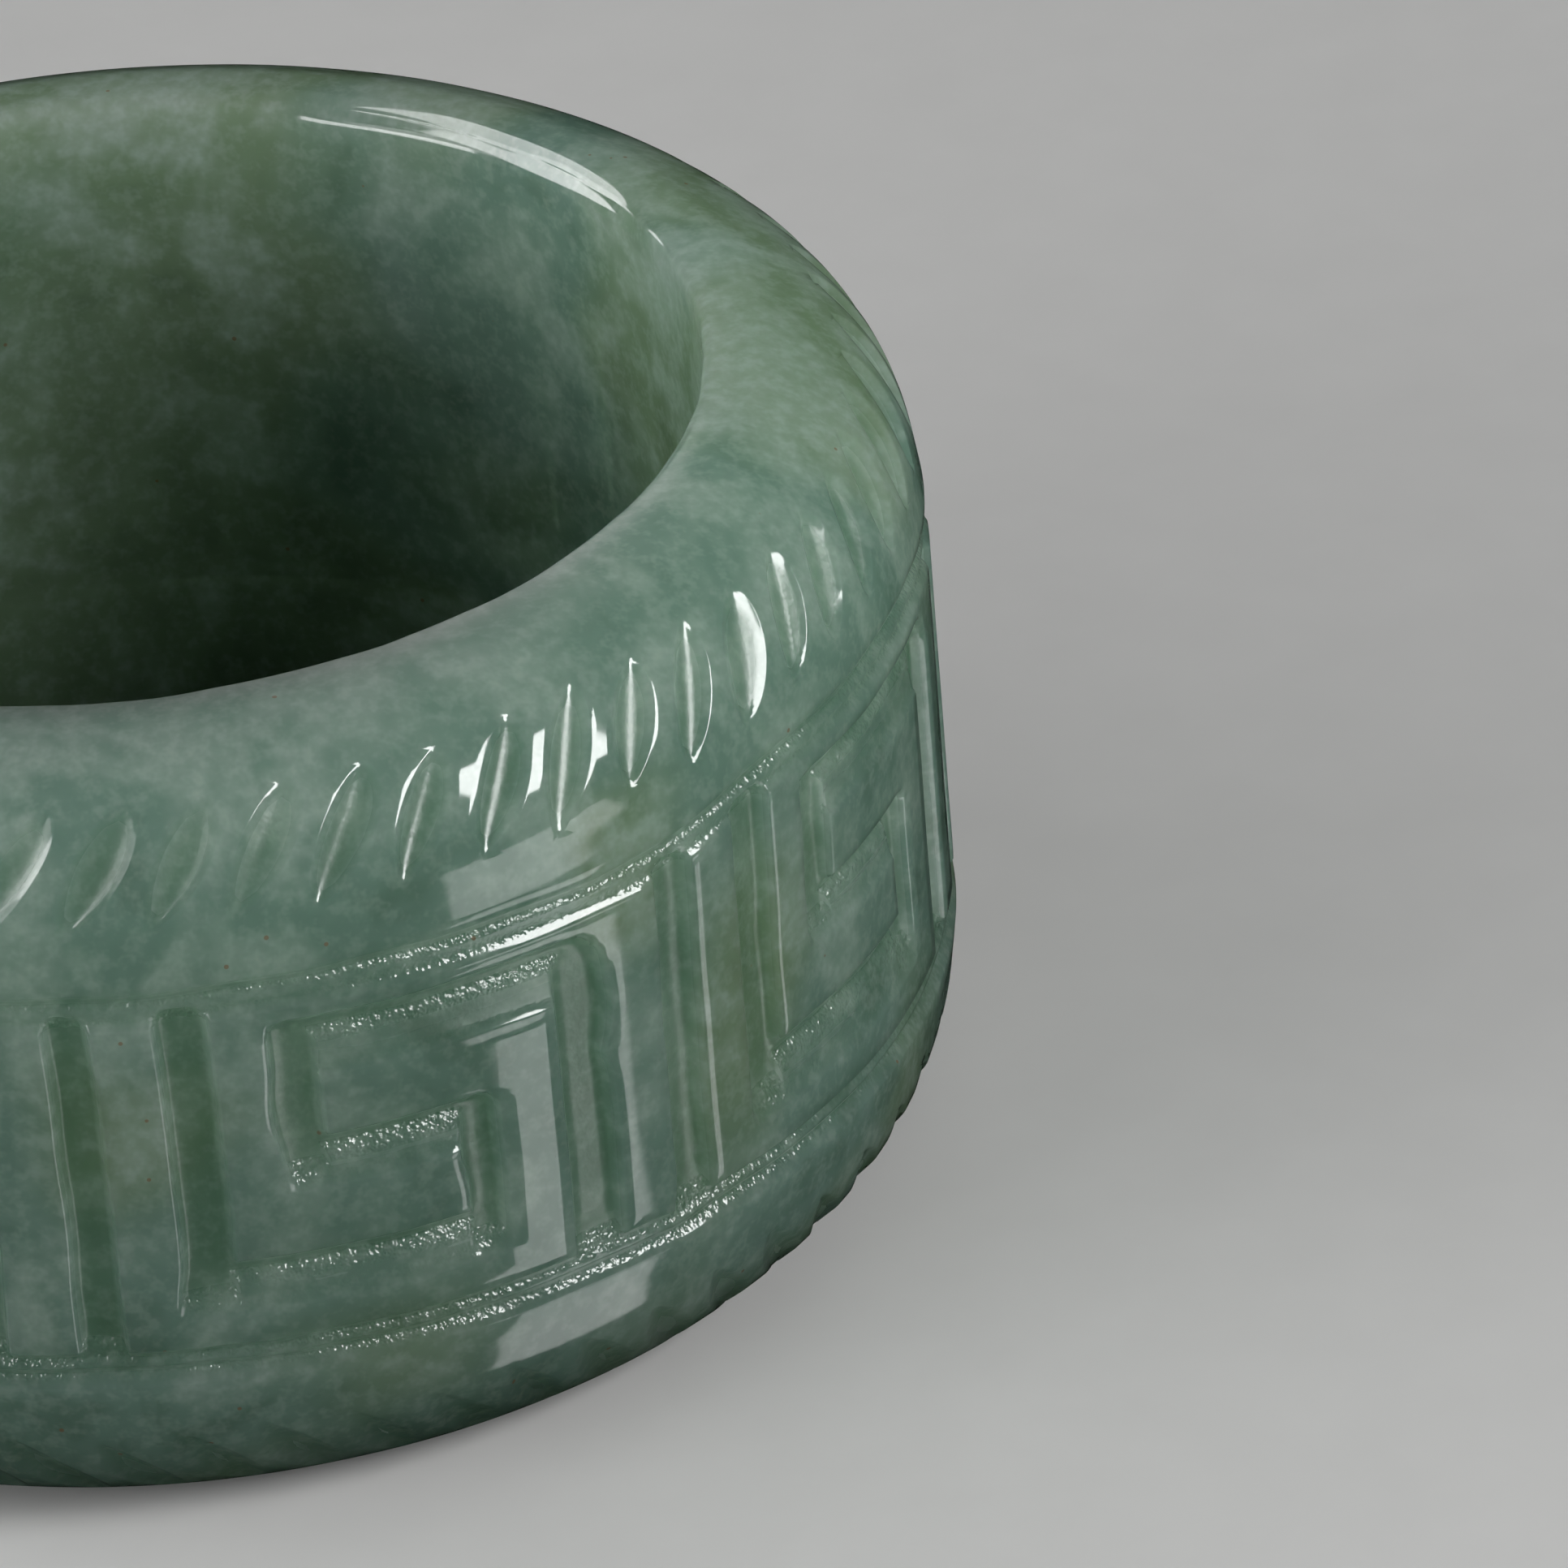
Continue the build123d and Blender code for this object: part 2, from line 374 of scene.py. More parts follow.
# %% The notches
NOTCH_COUNT = COLUMNS // NOTCH_COLUMNS
NOTCH_WIDTH = 0.82 * MM
UPPER_DEPTH, LOWER_DEPTH = 0.23 * MM, 0.13 * MM
NOTCH_HALF_LENGTH = 1.0 * MM
NOTCH_LEAN = radians(30)
NOTCH_RUN = rim + 3.63 * MM    # along the outline, from the middle of the bore
NOTCH_REACH = 1.14 * MM        # the band of leaning columns, each way from the notches' middles
UPPER_START, LOWER_START = 1.3, -0.5
TIP_WIDTH = 0.09 * MM          # half the width that the mesh lines keep at a notch's tips
TIP_FADE = 1.12                # where the lines are even again, in half-lengths
ROW_FADE = 0.1 * MM            # the same, before the end of the leaning band
LEAF_CURVE, LEAF_SKEW = 0.62, 0.12
DISH_CURVE = 2.3               # across a notch: a flat-bottomed dish with steep sides
KEEL_CURVE = 0.7               # along a notch
LEAST_WIDTH = 1e-9             # keeps the sum for a dish whole at a notch's tips
LIP_LINE = 3                   # the mesh line just outside a notch's lip, counted from its keel

# How far one notch may differ from the next: shares of its size, and errors of its place
LENGTH_ERROR, WIDTH_ERROR, DEPTH_ERROR = 0.08, 0.1, 0.15
LEAN_ERROR = radians(4)
SHIFT_ERROR, DROP_ERROR = 0.06 * MM, 0.07 * MM     # round the band, and up the shoulder

notch_radius = float(on_outline(NOTCH_RUN)[0])
notch_pitch = tau * notch_radius / NOTCH_COUNT
rng = np.random.default_rng(7)
NotchRow = namedtuple("NotchRow", "run side start full_depth length width lean shift drop depth")


def errors(size):
    """One random error for each notch, up to the given size either way."""
    return size * rng.uniform(-1, 1, NOTCH_COUNT)


def notch_row(run, side, start, full_depth):
    """One row of notches with its own small errors."""
    return NotchRow(
        run=run,
        side=side,
        start=start,
        full_depth=full_depth,
        length=1 + errors(LENGTH_ERROR),
        width=1 + errors(WIDTH_ERROR),
        lean=NOTCH_LEAN + errors(LEAN_ERROR),
        shift=errors(SHIFT_ERROR),
        drop=errors(DROP_ERROR),
        depth=1 + errors(DEPTH_ERROR),
    )


NOTCH_ROWS = [
    notch_row(NOTCH_RUN, 1, UPPER_START, UPPER_DEPTH),
    notch_row(outline_length - NOTCH_RUN, -1, LOWER_START, LOWER_DEPTH),
]


def column_places(row):
    """Which notch each column belongs to, and the number of its line there, 0 on the keel."""
    towards_fret = row.start - np.degrees(tan(NOTCH_LEAN) * NOTCH_REACH / notch_radius)
    sample = np.arange(2, NOTCH_COUNT - 4)    # clear of the seam, where the lap of columns ends
    nearest = np.searchsorted(fret_turns, towards_fret + 360 / NOTCH_COUNT * sample)
    first = int(round(np.mean(nearest - NOTCH_COLUMNS * sample)))
    steps = np.arange(COLUMNS) - first + LIP_LINE
    return steps // NOTCH_COLUMNS, steps % NOTCH_COLUMNS - LIP_LINE


def notch_line(row, notch, place, from_middle):
    """Distance round the band of one line across a notch, its share of the width, and the depth."""
    which = np.mod(notch, NOTCH_COUNT)
    rise = row.side * from_middle + row.drop[which]
    along = rise / NOTCH_HALF_LENGTH / row.length[which]
    inside = np.clip(1 - along**2, 0, 1)
    leaf = inside**LEAF_CURVE * (1 + LEAF_SKEW * along)
    half_width = NOTCH_WIDTH / 2 / cos(NOTCH_LEAN) * row.width[which] * leaf
    lines = np.hypot(half_width, TIP_WIDTH)
    # One line on the keel, one halfway to each lip, and one on either side of a lip
    aligned = np.sign(place) * np.select(
        [place == 0, abs(place) == 1, abs(place) == 2], [0, 0.5 * lines, lines - LIP], lines + LIP
    )
    even = place * notch_pitch / NOTCH_COLUMNS
    row_end = smooth(abs(from_middle), NOTCH_REACH - ROW_FADE, NOTCH_REACH)
    apart = np.maximum(smooth(abs(along), 1.0, TIP_FADE), row_end)
    offset = aligned + (even - aligned) * apart
    # A notch's own lean and shift fade out towards the ends of the leaning band
    own = 1 - (from_middle / NOTCH_REACH) ** 2
    lean = NOTCH_LEAN + own * (row.lean[which] - NOTCH_LEAN)
    leaning = row.side * np.tan(lean) * from_middle
    keel = notch * notch_pitch + own * row.shift[which] + leaning
    share = np.clip(1 - (abs(offset) / np.maximum(half_width, LEAST_WIDTH)) ** DISH_CURVE, 0, 1)
    depth = row.full_depth * row.depth[which] * share * inside**KEEL_CURVE * (abs(place) < LIP_LINE)
    return keel + offset, depth


def notch_lines(row, run):
    """For one row of the mesh: each column's angle, and the depth that the notches have there."""
    notch, place = column_places(row)
    from_middle = float(np.clip(row.run - run, -NOTCH_REACH, NOTCH_REACH))
    across, depth = notch_line(row, notch, np.minimum(place, LIP_LINE), from_middle)
    next_across, _ = notch_line(row, notch + 1, 0 * place - LIP_LINE, from_middle)
    between = np.clip((place - LIP_LINE) / (NOTCH_COLUMNS - 2 * LIP_LINE), 0, 1)
    across = across + between * (next_across - across)
    return row.start + np.degrees(across / notch_radius), depth


print(f"{NOTCH_COUNT} notches in a row, {notch_pitch / MM:.2f} mm apart")

# %% [markdown]
# The rest of the outline is smooth, so it needs few rows. Where the columns pass from the fret's
# places to the notches', the rows between share the change out.

# %% The rows of the mesh
NOTCH_ROW_STEP = 0.1 * MM
BORE_ROWS, LAND_ROWS, SHOULDER_ROWS = 5, 9, 6
BORE_ROWS_END = 0.6 * MM       # the bore's even rows stop this far under its edge
# Rows round the bore's edge, along the outline from the bore's end
EDGE_ROWS = np.array([-0.3, -0.2, -0.1, 0, 0.08, 0.157, 0.235, 0.314, 0.424, 0.56]) * MM
ROW_GAP = 0.05 * MM            # least distance between the wall's last row and the shoulder's first
BLEND_END = 0.03 * MM          # from the fret's border to where the columns start to drift


def upper_rows():
    """Distances along the outline from the middle of the bore to the border under the shoulder."""
    bore = np.linspace(0, rim - BORE_ROWS_END, BORE_ROWS)
    edge = rim + EDGE_ROWS
    notches = np.arange(NOTCH_RUN - NOTCH_REACH, NOTCH_RUN + NOTCH_REACH, NOTCH_ROW_STEP)
    land = np.linspace(edge[-1], notches[0], LAND_ROWS)[1:-1]
    shoulder = np.linspace(notches[-1], wall_runs[0], SHOULDER_ROWS)[1:-1]
    return np.concatenate([bore, edge, land, notches, shoulder])


above = upper_rows()
below = outline_length - above[:0:-1]
mirrored_shoulder = below[below > wall_runs[-1] + ROW_GAP]
runs = np.concatenate([above, wall_runs, mirrored_shoulder])
print(f"{len(runs)} rows, {2 * len(runs) * COLUMNS} triangles")


def row_turns(run):
    """Each column's angle on one row, and the notches' depth there."""
    upper, lower = NOTCH_ROWS
    upper_end, lower_end = upper.run + NOTCH_REACH, lower.run - NOTCH_REACH
    # Over the ends and through the bore, from one row of notches to the other
    if run < upper.run - NOTCH_REACH or run > lower.run + NOTCH_REACH:
        top, no_depth = notch_lines(upper, upper.run - NOTCH_REACH)
        bottom, _ = notch_lines(lower, lower.run + NOTCH_REACH)
        bottom = bottom + 360 * np.round((top - bottom).mean() / 360)
        down = within_lap(run, outline_length)
        share = np.clip(0.5 - down / (2 * rim), 0, 1)
        return top * (1 - share) + bottom * share, no_depth * 0
    if run < upper_end:
        return notch_lines(upper, run)
    if run > lower_end:
        return notch_lines(lower, run)
    # Down the wall, from the upper notches to the fret and on to the lower ones
    upper_turns, no_depth = notch_lines(upper, upper_end)
    lower_turns, _ = notch_lines(lower, lower_end)
    if run < half_length:
        share = np.clip((run - upper_end) / (wall_runs[0] - BLEND_END - upper_end), 0, 1)
        return upper_turns * (1 - share) + fret_turns * share, no_depth * 0
    share = np.clip((lower_end - run) / (lower_end - wall_runs[-1] - BLEND_END), 0, 1)
    return lower_turns * (1 - share) + fret_turns * share, no_depth * 0


# %% [markdown]
# A hand-cut line is never quite level or straight. Here the whole net of mesh lines is moved along
# the surface by slow noise, so that lips and valleys wander together and stay crisp. Towards the
# right of the front the fret also climbs by almost half a millimetre, as it does on the real ring.

# %% The hand's errors
WANDER = 0.045 * MM            # short waves of the tool's path
WANDER_ALONG_GRAIN, WANDER_UP_GRAIN = 1.6 * MM, 1.4 * MM
DRIFT = 0.09 * MM              # long waves of it
DRIFT_ALONG_GRAIN, DRIFT_UP_GRAIN = 7 * MM, 8 * MM
GIRDLE_REACH, GIRDLE_FADE = 3.6 * MM, 5.2 * MM   # from mid height: where both are full, where none
STROKE_ERROR, STROKE_GRAIN = 0.16, 1.3 * MM      # of the fret's depth
BORDER_ERROR, BORDER_GRAIN = 0.3, 1.7 * MM       # of the borders' depth
SWELL, SWELL_GRAIN = 0.02 * MM, 2.6 * MM         # what polishing took off unevenly
SEED_STEP = 17.3, -9.1, 5.7    # how far one field of noise lies from the next
CLIMB = 0.42 * MM
CLIMB_FROM, CLIMB_TO, CLIMB_BACK, CLIMB_END = 34.0, 50.0, 70.0, 90.0     # degrees from the front
CLIMB_FOOT, CLIMB_HEAD = 4.4 * MM, 6.0 * MM      # heights where the climb begins and is whole

Slip = namedtuple("Slip", "turn height reach along up")
SLIPS = [
    Slip(turn=31.2, height=7.6 * MM, reach=0.24 * MM, along=-0.13 * MM, up=0),
    Slip(turn=31.0, height=8.5 * MM, reach=0.4 * MM, along=0.08 * MM, up=0),
    Slip(turn=5.9, height=6.9 * MM, reach=0.5 * MM, along=0.12 * MM, up=0),
    Slip(turn=6.2, height=8.3 * MM, reach=0.6 * MM, along=-0.1 * MM, up=0.04 * MM),
    Slip(turn=-1.5, height=4.9 * MM, reach=0.5 * MM, along=-0.14 * MM, up=-0.08 * MM),
    Slip(turn=18.5, height=6.6 * MM, reach=0.4 * MM, along=-0.1 * MM, up=0.06 * MM),
    Slip(turn=36.2, height=3.9 * MM, reach=0.45 * MM, along=-0.16 * MM, up=-0.06 * MM),
]


def field(points, grain, seed, wanted=None):
    """Smooth noise from -1 to 1 at each point, with forms of about the given size, where wanted."""
    shift = Vector([step * seed for step in SEED_STEP])
    made = np.zeros(points.shape[:2])
    where = np.ones(points.shape[:2], bool) if wanted is None else wanted > 0
    made[where] = [noise.noise(Vector(point) / grain + shift) for point in points[where]]
    return made


def climb(turns, height):
    """How far the fret climbs at an angle: its bottom line stays on the lower border."""
    # In degrees from the front, over a lap that ends a quarter turn to its left
    lap = np.mod(turns + 90, 360) - 90
    rise = smooth(lap, CLIMB_FROM, CLIMB_TO) * (1 - smooth(lap, CLIMB_BACK, CLIMB_END))
    return CLIMB * rise * smooth(height, CLIMB_FOOT, CLIMB_HEAD)


def slips(turns, height):
    """How far the places where the tool slipped pull the mesh lines, round the band and up."""
    along, up = np.zeros_like(turns), np.zeros_like(turns)
    for slip in SLIPS:
        distance = np.hypot(np.radians(turns - slip.turn) * band_radius, height - slip.height)
        pull = np.exp(-((distance / slip.reach) ** 2))
        along += slip.along * pull
        up += slip.up * pull
    return along, up


print(f"{len(SLIPS)} slips of the tool, and a climb of {CLIMB / MM:.2f} mm")

# %% [markdown]
# Years of wear have rounded the bore's edge into a flat facet on one side, which catches the light
# as a long streak. Elsewhere the edge has only slight dents.

# %% The worn edge
WEAR_FROM, WEAR_TO = 107.0, 165.0    # degrees from the front
WEAR_ENDS = 14.0               # degrees over which it starts and stops
# How deep it is along the outline, from the bore's end
WEAR_PLACES = np.array([-0.2, 0, 0.157, 0.314, 0.424]) * MM
WEAR_DEPTHS = np.array([0, 0.156, 0.165, 0.14, 0]) * MM
WEAR_ERROR = 0.2               # how much its depth varies, as a share
DENT_SHARE, DENT_GRAIN = 0.25, 1.8 * MM
DENT_REACH = 0.5 * MM          # how far into the bore dents are looked for


def rim_wear(turns, run, dents):
    """Depth of the worn facet at the bore's upper edge."""
    lap = np.mod(turns, 360)
    starts = smooth(lap, WEAR_FROM, WEAR_FROM + WEAR_ENDS)
    worn = starts * (1 - smooth(lap, WEAR_TO - WEAR_ENDS, WEAR_TO))
    share = np.maximum(worn * (1 + WEAR_ERROR * dents), DENT_SHARE * np.clip(dents, 0, 1))
    return share * np.interp(run - rim, WEAR_PLACES, WEAR_DEPTHS)


print(f"worn up to {WEAR_DEPTHS.max() / MM:.3f} mm deep over {WEAR_TO - WEAR_FROM:.0f} degrees")

# %% [markdown]
# A spun outline would give the plain ring, but six hundred steps of a spin are slow. A flat grid
# has the same faces in the same order: its long side is laid round the finger and its short side
# round the outline, and the edges that meet are welded. Every vertex goes to its own place: round
# by its column, along the outline by its row, and in by the depth of whatever is cut there.

# %% The carved ring
WELD = 0.0001 * MM             # edges nearer than this are joined


def strayed(plain, turns, height, near_wall):
    """How far the cuts stray from their places, round the band and up it."""
    slip_along, slip_up = slips(turns, height)
    along = WANDER * field(plain, WANDER_ALONG_GRAIN, seed=1, wanted=near_wall)
    along = along + DRIFT * field(plain, DRIFT_ALONG_GRAIN, seed=2, wanted=near_wall)
    up = WANDER * field(plain, WANDER_UP_GRAIN, seed=3, wanted=near_wall)
    up = up + DRIFT * field(plain, DRIFT_UP_GRAIN, seed=4, wanted=near_wall)
    return along + slip_along, up + slip_up + climb(turns, height)


def wall_cuts(plain, turns, height, on_wall, near_wall):
    """Depth of the fret and the borders at each place, and how much of them looks up."""
    across = np.mod(np.radians(turns - FRET_START) * band_radius, unit_length)
    fret_cut, fret_facet = fret_depth(across, height)
    stroke_error = STROKE_ERROR * field(plain, STROKE_GRAIN, seed=5, wanted=on_wall)
    fret_cut = fret_cut * on_wall * (1 + stroke_error)
    border_cut, border_facet = border_depth(height)
    border_error = BORDER_ERROR * field(plain, BORDER_GRAIN, seed=7, wanted=near_wall)
    border_cut = border_cut * (1 + border_error)
    return np.maximum(fret_cut, border_cut), np.maximum(fret_facet * on_wall, border_facet)


def carved_places():
    """Where each row and column of the net lies, with the depth of cut and how much it looks up."""
    net = [row_turns(run) for run in runs]
    turns = np.array([line[0] for line in net])
    notch_cut = np.array([line[1] for line in net])
    run = np.repeat(runs[:, None], COLUMNS, axis=1)
    height = half_length + middle - run
    angle = np.radians(turns)
    plain = np.stack([band_radius * np.sin(angle), -band_radius * np.cos(angle), height], 2)
    on_wall = (run > wall_runs[0] - LIP) & (run < wall_runs[-1] + LIP)
    near_wall = smooth(abs(run - half_length), GIRDLE_FADE, GIRDLE_REACH)
    wall_cut, facets = wall_cuts(plain, turns, height, on_wall, near_wall)
    cut = np.maximum(wall_cut, notch_cut)
    dents = field(plain, DENT_GRAIN, seed=8, wanted=smooth(run, rim - DENT_REACH, rim))
    wear = rim_wear(turns, run, dents)
    swell = SWELL * (1 + field(plain, SWELL_GRAIN, seed=6)) / 2
    along, up = strayed(plain, turns, height, near_wall)
    run = run - near_wall * up
    angle = angle + near_wall * along / band_radius
    radius, level = on_outline(run)
    out_radius, out_level = outward(run)
    radius = radius - out_radius * (cut + swell + wear)
    level = level - out_level * (cut + swell + wear)
    places = np.stack([radius * np.sin(angle), -radius * np.cos(angle), level], 2)
    return places, cut, facets


def carved_mesh():
    """A grid of one face for each row and column, laid on the carved ring and welded."""
    places, cut, facets = carved_places()
    work = bmesh.new()
    carve_mark = work.verts.layers.float.new("carve")
    grind_mark = work.verts.layers.float.new("grind")
    rows = len(runs)
    bmesh.ops.create_grid(work, x_segments=COLUMNS, y_segments=rows, size=1)
    for vertex in work.verts:
        column = round((vertex.co.x + 1) / 2 * COLUMNS) % COLUMNS
        row = round((vertex.co.y + 1) / 2 * rows) % rows
        vertex.co = places[row, column]
        vertex[carve_mark] = min(cut[row, column] / STROKE_DEPTH, 1)
        vertex[grind_mark] = facets[row, column]
    seam = [vertex for vertex in work.verts if vertex.is_boundary]
    bmesh.ops.remove_doubles(work, verts=seam, dist=WELD)
    bmesh.ops.recalc_face_normals(work, faces=work.faces)
    mesh = bpy.data.meshes.new("carved_band")
    work.to_mesh(mesh)
    work.free()
    return mesh, cut


carved, cut_depth = carved_mesh()
carved.polygons.foreach_set("use_smooth", [True] * len(carved.polygons))
ring = bpy.data.objects.new("carved_jade_band", carved)
bpy.context.scene.collection.objects.link(ring)
shading = ring.modifiers.new("even_light", "WEIGHTED_NORMAL")
shading.keep_sharp = False
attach(ring, "root")
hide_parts("jade_band")
print(f"{len(carved.vertices)} vertices, deepest cut {cut_depth.max() / MM:.2f} mm")

# %% [markdown]
# Shader maths reads best as plain sums. This small class wraps a node's output: a plus or a times
# written on it adds the Math node, so that a mask is written the way it is thought of.

# %% A way to write materials
class Wire:
    """A number on its way through a material's nodes."""

    def __init__(self, finish, socket):
        self.finish = finish
        self.socket = socket

    def __add__(self, other):
        return self.finish.sum("ADD", self, other)

    def __sub__(self, other):
        return self.finish.sum("SUBTRACT", self, other)

    def __rsub__(self, other):
        return self.finish.sum("SUBTRACT", other, self)

    def __mul__(self, other):
        return self.finish.sum("MULTIPLY", self, other)

    __radd__ = __add__
    __rmul__ = __mul__


class Finish:
    """One material and its nodes."""

    def __init__(self, name):
        self.material = bpy.data.materials.new(name)
        self.material.use_nodes = True
        self.tree = self.material.node_tree
        self.tree.nodes.clear()

    def node(self, kind, settings=None, sockets=None, outlet=None):
        """Adds a node: its settings first, then its sockets' values or links."""
        made = self.tree.nodes.new(kind)
        for name, value in (settings or {}).items():
            setattr(made, name, value)
        for name, value in (sockets or {}).items():
            socket = self.pick(made.inputs, name)
            if isinstance(value, Wire):
                self.tree.links.new(value.socket, socket)
            else:
                socket.default_value = value
        return Wire(self, self.pick(made.outputs, outlet)) if made.outputs else made

    def pick(self, sockets, name):
        """The socket in use with that name or number; without a name, the first one in use."""
        if isinstance(name, int):
            return sockets[name]
        return next(socket for socket in sockets if socket.enabled and name in (None, socket.name))

    def sum(self, operation, first, second):
        """One Math node on two numbers."""
        return self.node("ShaderNodeMath", {"operation": operation}, {0: first, 1: second})

    def noise(self, place, size, detail=2.0, roughness=0.5, outlet="Fac"):
        """Noise from 0 to 1 with forms of about the given size."""
        return self.node(
            "ShaderNodeTexNoise", None,
            {"Vector": place, "Scale": 1 / size, "Detail": detail, "Roughness": roughness}, outlet,
        )

    def step(self, value, start, end):
        """0 up to start and 1 from end on, smooth between."""
        return self.node(
            "ShaderNodeMapRange", {"interpolation_type": "SMOOTHSTEP"},
            {"Value": value, "From Min": start, "From Max": end},
        )

    def mix(self, share, first, second):
        """One colour going over into another."""
        return self.node(
            "ShaderNodeMix", {"data_type": "RGBA"},
            {"Factor": share, "A": first, "B": second}, "Result",
        )


# %% [markdown]
# Jade is a felt of tiny crystals. Light goes in, scatters and comes out again some way off, so the
# stone is never quite dark in its cuts. Its colour drifts between a bluish sea green and, at the
# back, a yellower moss green, with milky clouds that thicken upwards, darker veins and a few rust
# specks. The cuts are also coloured a darker, yellower green by their depth: painted shade in the
# recesses. The ridges are polished, while the burr leaves scratches in the cuts. They are strongest
# on the facets that look up, in patches, and sparkle there. Noise makes the rest of it, in the
# stone's own space, so that a cut shows the same cloud as the skin beside it.

# %% Jade
SEA = (0.135, 0.225, 0.180, 1)
MOSS = (0.155, 0.230, 0.142, 1)
MILK = (0.310, 0.410, 0.345, 1)
VEIN = (0.040, 0.080, 0.045, 1)
# Painted shade: a darker, yellower green laid into the cuts
CUT_SHADE = (0.105, 0.205, 0.120, 1)
RUST = (0.20, 0.085, 0.03, 1)
SWIRL_SIZE = 4 * MM            # of the noise that bends the clouds
SWIRL_REACH = 3 * MM           # how far it bends them
BROAD_SIZE = 6 * MM
CLOUD_SIZE = 1.9 * MM
FELT_SIZE = 0.3 * MM
SPECK_SPACING = 1.1 * MM
CHATTER_SIZE = 0.1 * MM        # the burr's scratches
CHATTER_DEPTH = 0.05 * MM
DRIFT_TO_MOSS = 0.12 / (10 * MM)     # towards the back
DRIFT_TO_MILK = 0.12 / (10 * MM)     # upwards
MILK_LESS = 0.085              # about what the drift upwards adds at mid height
BROAD_SHARE = 0.3              # how much the broad clouds add to the small ones
DEPTH_OF_LIGHT = 14 * MM       # how far light goes into the stone
LIGHT_REACH = (1.0, 1.15, 1.0)       # for red, green and blue, as shares of that depth
JADE_IOR = 1.66

# Where each colour or finish starts and where it is full, on the noise or the mark that steers it
MOSS_RANGE = 0.40, 0.60
MILK_RANGE = 0.60, 0.84
VEIN_RANGE = 0.62, 0.44
FLECK_RANGE = 0.42, 0.72
SPECK_RANGE = 0.045, 0.03
FACET_RANGE = 0.25, 0.6
PATCH_RANGE = 0.4, 0.6
SAWN_RANGE = 0.15, 0.5

# How strong each one is
MILK_LEAST, MILK_BY_FELT = 0.2, 0.7
VEIN_SHARE, CUT_SHADE_SHARE, FLECK_SHARE, SPECK_SHARE = 0.32, 0.4, 0.3, 0.6
PATCH_LEAST = 0.5              # of a facet's scratches, between their patches
SCRATCH_LEAST = 0.12           # of the scratches, in the cuts that don't look up
POLISHED, SAWN_MORE, FACET_LESS, FELT_MORE = 0.06, 0.24, 0.17, 0.03     # roughness


def jade():
    """Polished, slightly translucent green stone with tool marks in its cuts."""
    finish = Finish("jade")
    place = finish.node("ShaderNodeTexCoord", None, None, "Object")
    cut = finish.node("ShaderNodeAttribute", {"attribute_name": "carve"}, None, "Fac")
    grind = finish.node("ShaderNodeAttribute", {"attribute_name": "grind"}, None, "Fac")
    swirl = finish.noise(place, SWIRL_SIZE, 1, outlet="Color")
    flow = finish.node(
        "ShaderNodeVectorMath", {"operation": "MULTIPLY_ADD"},
        {0: swirl, 1: (SWIRL_REACH, SWIRL_REACH, SWIRL_REACH), 2: place}, "Vector",
    )
    broad = finish.noise(flow, BROAD_SIZE, 1)
    cloud = finish.noise(flow, CLOUD_SIZE, 3, 0.6)
    felt = finish.noise(place, FELT_SIZE, 2, 0.7)
    depth = finish.node("ShaderNodeSeparateXYZ", None, {0: place}, "Y")
    height = finish.node("ShaderNodeSeparateXYZ", None, {0: place}, "Z")
    moss = finish.step(broad + depth * DRIFT_TO_MOSS, *MOSS_RANGE)
    colour = finish.mix(moss, SEA, MOSS)
    tone = cloud + broad * BROAD_SHARE + height * DRIFT_TO_MILK - MILK_LESS
    milk = finish.step(tone, *MILK_RANGE) * (MILK_LEAST + felt * MILK_BY_FELT)
    colour = finish.mix(milk, colour, MILK)
    colour = finish.mix(finish.step(tone, *VEIN_RANGE) * VEIN_SHARE, colour, VEIN)
    # Painted shade: the cuts are darkened by their depth of cut
    colour = finish.mix(cut * CUT_SHADE_SHARE, colour, CUT_SHADE)
    colour = finish.mix(finish.step(felt, *FLECK_RANGE) * FLECK_SHARE, colour, MILK)
    grain = finish.node(
        "ShaderNodeTexVoronoi", None, {"Vector": place, "Scale": 1 / SPECK_SPACING}, "Distance"
    )
    colour = finish.mix(finish.step(grain, *SPECK_RANGE) * SPECK_SHARE, colour, RUST)
    chatter = finish.noise(place, CHATTER_SIZE, 1, 0.6)
    patch = finish.step(cloud, *PATCH_RANGE)
    facet = finish.step(grind, *FACET_RANGE) * (PATCH_LEAST + patch * (1 - PATCH_LEAST))
    sawn = finish.step(cut, *SAWN_RANGE)
    scratched = sawn * (SCRATCH_LEAST + facet * (1 - SCRATCH_LEAST))
    roughness = POLISHED + sawn * (SAWN_MORE - facet * FACET_LESS) + felt * FELT_MORE
    normal = finish.node(
        "ShaderNodeBump", None,
        {"Strength": scratched, "Distance": CHATTER_DEPTH, "Height": chatter}, "Normal",
    )
    stone = finish.node(
        "ShaderNodeBsdfPrincipled", {"subsurface_method": "RANDOM_WALK"},
        {
            "Base Color": colour, "Roughness": roughness, "Normal": normal, "IOR": JADE_IOR,
            "Subsurface Weight": 1.0, "Subsurface Radius": LIGHT_REACH,
            "Subsurface Scale": DEPTH_OF_LIGHT,
        },
        "BSDF",
    )
    finish.node("ShaderNodeOutputMaterial", None, {"Surface": stone})
    return finish.material


ring.data.materials.append(jade())
print("jade:", len(ring.data.materials[0].node_tree.nodes), "nodes")

# %% [markdown]
# The camera stands where the photograph was taken from: a long lens some twenty centimetres away,
# a third of the way up and leaning a little. The ring fills the left of the frame and runs past it.

# %% Camera
FRAME_WIDTH = 1932             # in pixels of the photograph
FOCAL_PIXELS = 15716.46        # the same, for the lens
CAMERA_PLACE = Vector((0, -184.748, 119.201)) * MM
PITCH, YAW, ROLL = radians(31.646), radians(3.324), radians(-4.746)

